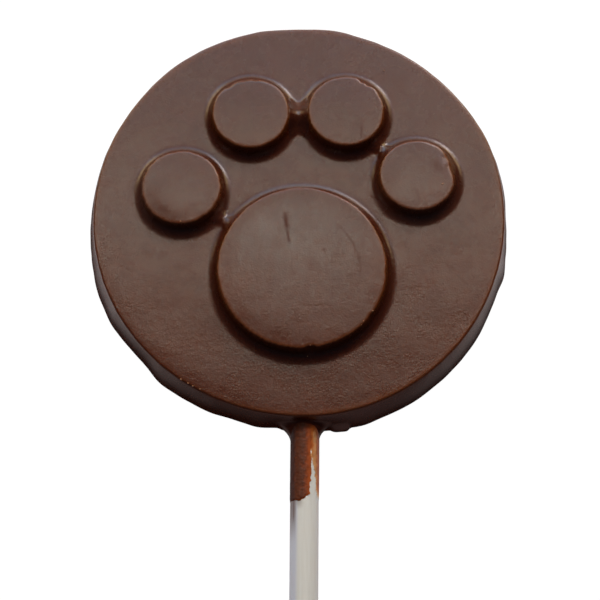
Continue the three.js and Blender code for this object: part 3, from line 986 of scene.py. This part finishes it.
def paper_material():
    """Matt rolled paper with fibres along it."""
    shade = Shading("rolled_paper")
    along = shade.stretched((1.0, 0.07, 1.0))
    fibres = shade.noise(0.35, 4, 0.6, along)
    colour = shade.mix(shade.between(fibres, 0.35, 0.7), PAPER_LIGHT, PAPER_DULL)
    colour = shade.mix(shade.between(shade.noise(2.6, 3), 0.55, 0.8, 0, 0.35), colour, PAPER_DULL)
    # Painted shade on the stick's flanks
    colour = shade.mix(shade.between(shade.stored("flank_shade"), 0, 1, 0, 0.8), colour, PAPER_FLANK_SHADE)
    colour = shade.mix(shade.stored("stain"), colour, PAPER_STAIN)
    shade.drive("Base Color", colour)
    shade.drive("Roughness", shade.between(fibres, 0.3, 0.7, 0.62, 0.78))
    relief = shade.bump(fibres, 0.010)
    shade.drive("Normal", shade.bump(shade.noise(0.12, 3), 0.003, relief))
    shade.set("IOR", 1.45)
    return shade.material


FILM_TAN = (0.64, 0.34, 0.14)
FILM_AMBER = (0.46, 0.125, 0.020)
FILM_ORANGE = (0.31, 0.060, 0.009)
FILM_BROWN = (0.100, 0.026, 0.010)
FILM_DARK = (0.060, 0.018, 0.008)


def smear_material():
    """Chocolate film: tan and orange where the paper shows through it, dark brown where it is thick."""
    shade = Shading("chocolate_film")
    film = shade.stored("film")
    colour = shade.mix(shade.between(film, 0.0, 0.035), PAPER_LIGHT, FILM_TAN)
    colour = shade.mix(shade.between(film, 0.035, 0.10), colour, FILM_AMBER)
    colour = shade.mix(shade.between(film, 0.10, 0.32), colour, FILM_ORANGE)
    colour = shade.mix(shade.between(film, 0.28, 0.95), colour, FILM_BROWN)
    colour = shade.mix(shade.between(shade.noise(0.9, 3), 0.45, 0.75, 0, 0.35), colour, FILM_DARK)
    # Painted shade by the rim and on the smear's far left
    colour = shade.mix(shade.stored("by_rim"), colour, CHOCOLATE_SHADE)
    shade.drive("Base Color", colour)
    shade.set("Roughness", 0.46)
    shade.drive("Specular IOR Level", shade.between(shade.stored("by_rim"), 0, 1, 0.25, 0.04))
    shade.drive("Normal", shade.bump(shade.noise(0.45, 3), 0.012))
    shade.set("IOR", 1.5)
    return shade.material


def floor_material():
    """A plain white board lit from within, so that no shadow falls on it."""
    shade = Shading("lit_board")
    shade.set("Base Color", (0.05, 0.05, 0.05, 1.0))
    shade.set("Roughness", 0.9)
    shade.set("Specular IOR Level", 0.0)
    shade.set("Emission Color", (1.0, 1.0, 1.0, 1.0))
    shade.set("Emission Strength", 1.0)
    return shade.material


FLOOR_SIDE = 2.4


def add_floor():
    """The floor shows as a white board and sheds no light on the lollipop: the room's lower half does that."""
    mesh = bpy.data.meshes.new("floor")
    half = FLOOR_SIDE / 2
    mesh.from_pydata([(-half, -half, 0), (half, -half, 0), (half, half, 0), (-half, half, 0)], [], [(0, 1, 2, 3)])
    mesh.materials.append(floor_material())
    floor = bpy.data.objects.new("floor", mesh)
    bpy.context.scene.collection.objects.link(floor)
    floor.visible_diffuse = floor.visible_glossy = floor.visible_shadow = False


def add_soft_light(name, azimuth, elevation, distance, size, power, colour, aside=0.0):
    """A soft box that faces the disc. Azimuth 0 is +Y, and a quarter turn is +X, in degrees; metres, watts."""
    turn, rise = math.radians(azimuth), math.radians(elevation)
    way = Vector((math.sin(turn) * math.cos(rise), math.cos(turn) * math.cos(rise), math.sin(rise)))
    light = bpy.data.lights.new(name, "AREA")
    light.shape = "RECTANGLE"
    light.size, light.size_y = size
    light.energy = power
    light.color = colour
    lamp = bpy.data.objects.new(name, light)
    lamp.rotation_euler = way.to_track_quat("Z", "Y").to_euler()
    lamp.location = way * distance + Vector((aside, 0, 0))
    bpy.context.scene.collection.objects.link(lamp)


WORLD_ABOVE = (0.0345, 0.0365, 0.0455)
WORLD_BACKDROP = (1.0, 1.0, 1.0)
# Light from the room's lower half by the Y part of its direction: dim on the camera's side, pale beyond. It
# grows from the shade right under the disc, by the Z part, and is turned and tilted a little to the left.
WORLD_BELOW = [(-1.0, (0.13, 0.078, 0.073)), (-0.8, (0.12, 0.072, 0.068)), (-0.6, (0.075, 0.048, 0.045)),
               (-0.4, (0.20, 0.160, 0.155)), (-0.2, (0.30, 0.26, 0.25)), (0.1, (0.50, 0.46, 0.46))]
WORLD_SHADE_Z, WORLD_LIGHT_Z = -0.86, -0.62
WORLD_SHADE, WORLD_LIGHT = 0.0, 2.8
WORLD_TURN = (0.0, -0.05, -0.12)


def add_world():
    """A dim room with pale light from below, seen past the floor's end as a white backdrop."""
    world = bpy.data.worlds.new("studio")
    world.use_nodes = True
    nodes, links = world.node_tree.nodes, world.node_tree.links
    turned = nodes.new("ShaderNodeMapping")
    turned.inputs["Rotation"].default_value = WORLD_TURN
    links.new(nodes.new("ShaderNodeTexCoord").outputs["Generated"], turned.inputs["Vector"])
    way = nodes.new("ShaderNodeSeparateXYZ")
    links.new(turned.outputs["Vector"], way.inputs["Vector"])

    def share(axis, low, high, to_low=0.0, to_high=1.0):
        node = nodes.new("ShaderNodeMapRange")
        node.inputs["From Min"].default_value = low
        node.inputs["From Max"].default_value = high
        node.inputs["To Min"].default_value = to_low
        node.inputs["To Max"].default_value = to_high
        links.new(way.outputs[axis], node.inputs["Value"])
        return node.outputs["Result"]

    ramp = nodes.new("ShaderNodeValToRGB")
    links.new(share("Y", -1.0, 1.0), ramp.inputs["Fac"])
    stops = ramp.color_ramp.elements
    stops.remove(stops[1])
    for along, colour in WORLD_BELOW:
        stop = stops[0] if along == WORLD_BELOW[0][0] else stops.new(0.5 + 0.5 * along)
        stop.color = (*colour, 1.0)
    below = nodes.new("ShaderNodeVectorMath")
    below.operation = "SCALE"
    links.new(ramp.outputs["Color"], below.inputs[0])
    links.new(share("Z", WORLD_SHADE_Z, WORLD_LIGHT_Z, WORLD_SHADE, WORLD_LIGHT), below.inputs["Scale"])
    mix = nodes.new("ShaderNodeMix")
    mix.data_type = "RGBA"
    links.new(share("Z", -0.1, -0.2), mix.inputs["Factor"])
    mix.inputs[6].default_value = (*WORLD_ABOVE, 1.0)
    links.new(below.outputs[0], mix.inputs[7])
    seen = nodes.new("ShaderNodeMix")
    seen.data_type = "RGBA"
    links.new(nodes.new("ShaderNodeLightPath").outputs["Is Camera Ray"], seen.inputs["Factor"])
    links.new(mix.outputs[2], seen.inputs[6])
    seen.inputs[7].default_value = (*WORLD_BACKDROP, 1.0)
    links.new(seen.outputs[2], nodes["Background"].inputs["Color"])
    bpy.context.scene.world = world


CAMERA_PLACE = Vector((0.07, -83.49, 222.96)) * MM
CAMERA_LOOK = Vector((0.0000193, 0.308415, -0.951252))
CAMERA_UP = Vector((0.005361, 0.951238, 0.308411))
CAMERA_LENS = 95.4


def add_camera():
    """The camera looks down on the lollipop as the photographer did."""
    data = bpy.data.cameras.new("camera")
    data.lens = CAMERA_LENS
    data.sensor_width = 36.0
    data.clip_start = 0.01
    camera = bpy.data.objects.new("camera", data)
    right = CAMERA_LOOK.cross(CAMERA_UP).normalized()
    up = right.cross(CAMERA_LOOK).normalized()
    axes = Matrix((right, up, -CAMERA_LOOK.normalized())).transposed()
    camera.matrix_world = Matrix.Translation(CAMERA_PLACE) @ axes.to_4x4()
    bpy.context.scene.collection.objects.link(camera)
    bpy.context.scene.camera = camera


add_camera()

chocolate = chocolate_material()
head_points, head_faces, head_values = chocolate_head()
head = add_piece("chocolate_head", head_points, head_faces, chocolate, "chocolate", head_values)
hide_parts("chocolate")

stick_points, stick_faces, stick_values = paper_stick()
stick = add_piece("paper_stick", stick_points, stick_faces, paper_material(), "paper", stick_values)
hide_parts("stick")

smear_points, smear_faces, smear_values = chocolate_smear()
add_piece("chocolate_smear", smear_points, smear_faces, smear_material(), "chocolate", smear_values)

add_piece("chocolate_crumbs", *chocolate_crumbs(), crumb_material(), "chocolate")

add_floor()
add_soft_light("strip", 0, 69.2, 0.60, (0.70, 0.030), 0.67, (0.96, 1.0, 0.84), -0.08)
add_soft_light("warm_strip", 0, 72.2, 0.60, (0.70, 0.030), 0.27, (1.0, 0.27, 0.10), -0.08)
add_soft_light("window_high", 0, 54, 0.60, (0.62, 0.125), 0.50, (1.0, 0.90, 0.94))
add_soft_light("window", 0, 40, 0.60, (0.62, 0.16), 1.20, (0.45, 0.74, 1.0))
add_soft_light("window_low", 0, 22, 0.60, (0.62, 0.24), 0.88, (0.97, 0.92, 0.76))
add_soft_light("warm_left", -41, 26, 0.60, (0.26, 0.22), 0.95, (1.0, 0.73, 0.40))
add_soft_light("warm_right", 41, 26, 0.60, (0.26, 0.22), 0.95, (1.0, 0.73, 0.40))
add_soft_light("cream_right", 26, 40, 0.60, (0.12, 0.12), 0.82, (1.0, 0.80, 0.72))
add_world()
bpy.context.scene.view_settings.view_transform = "Standard"
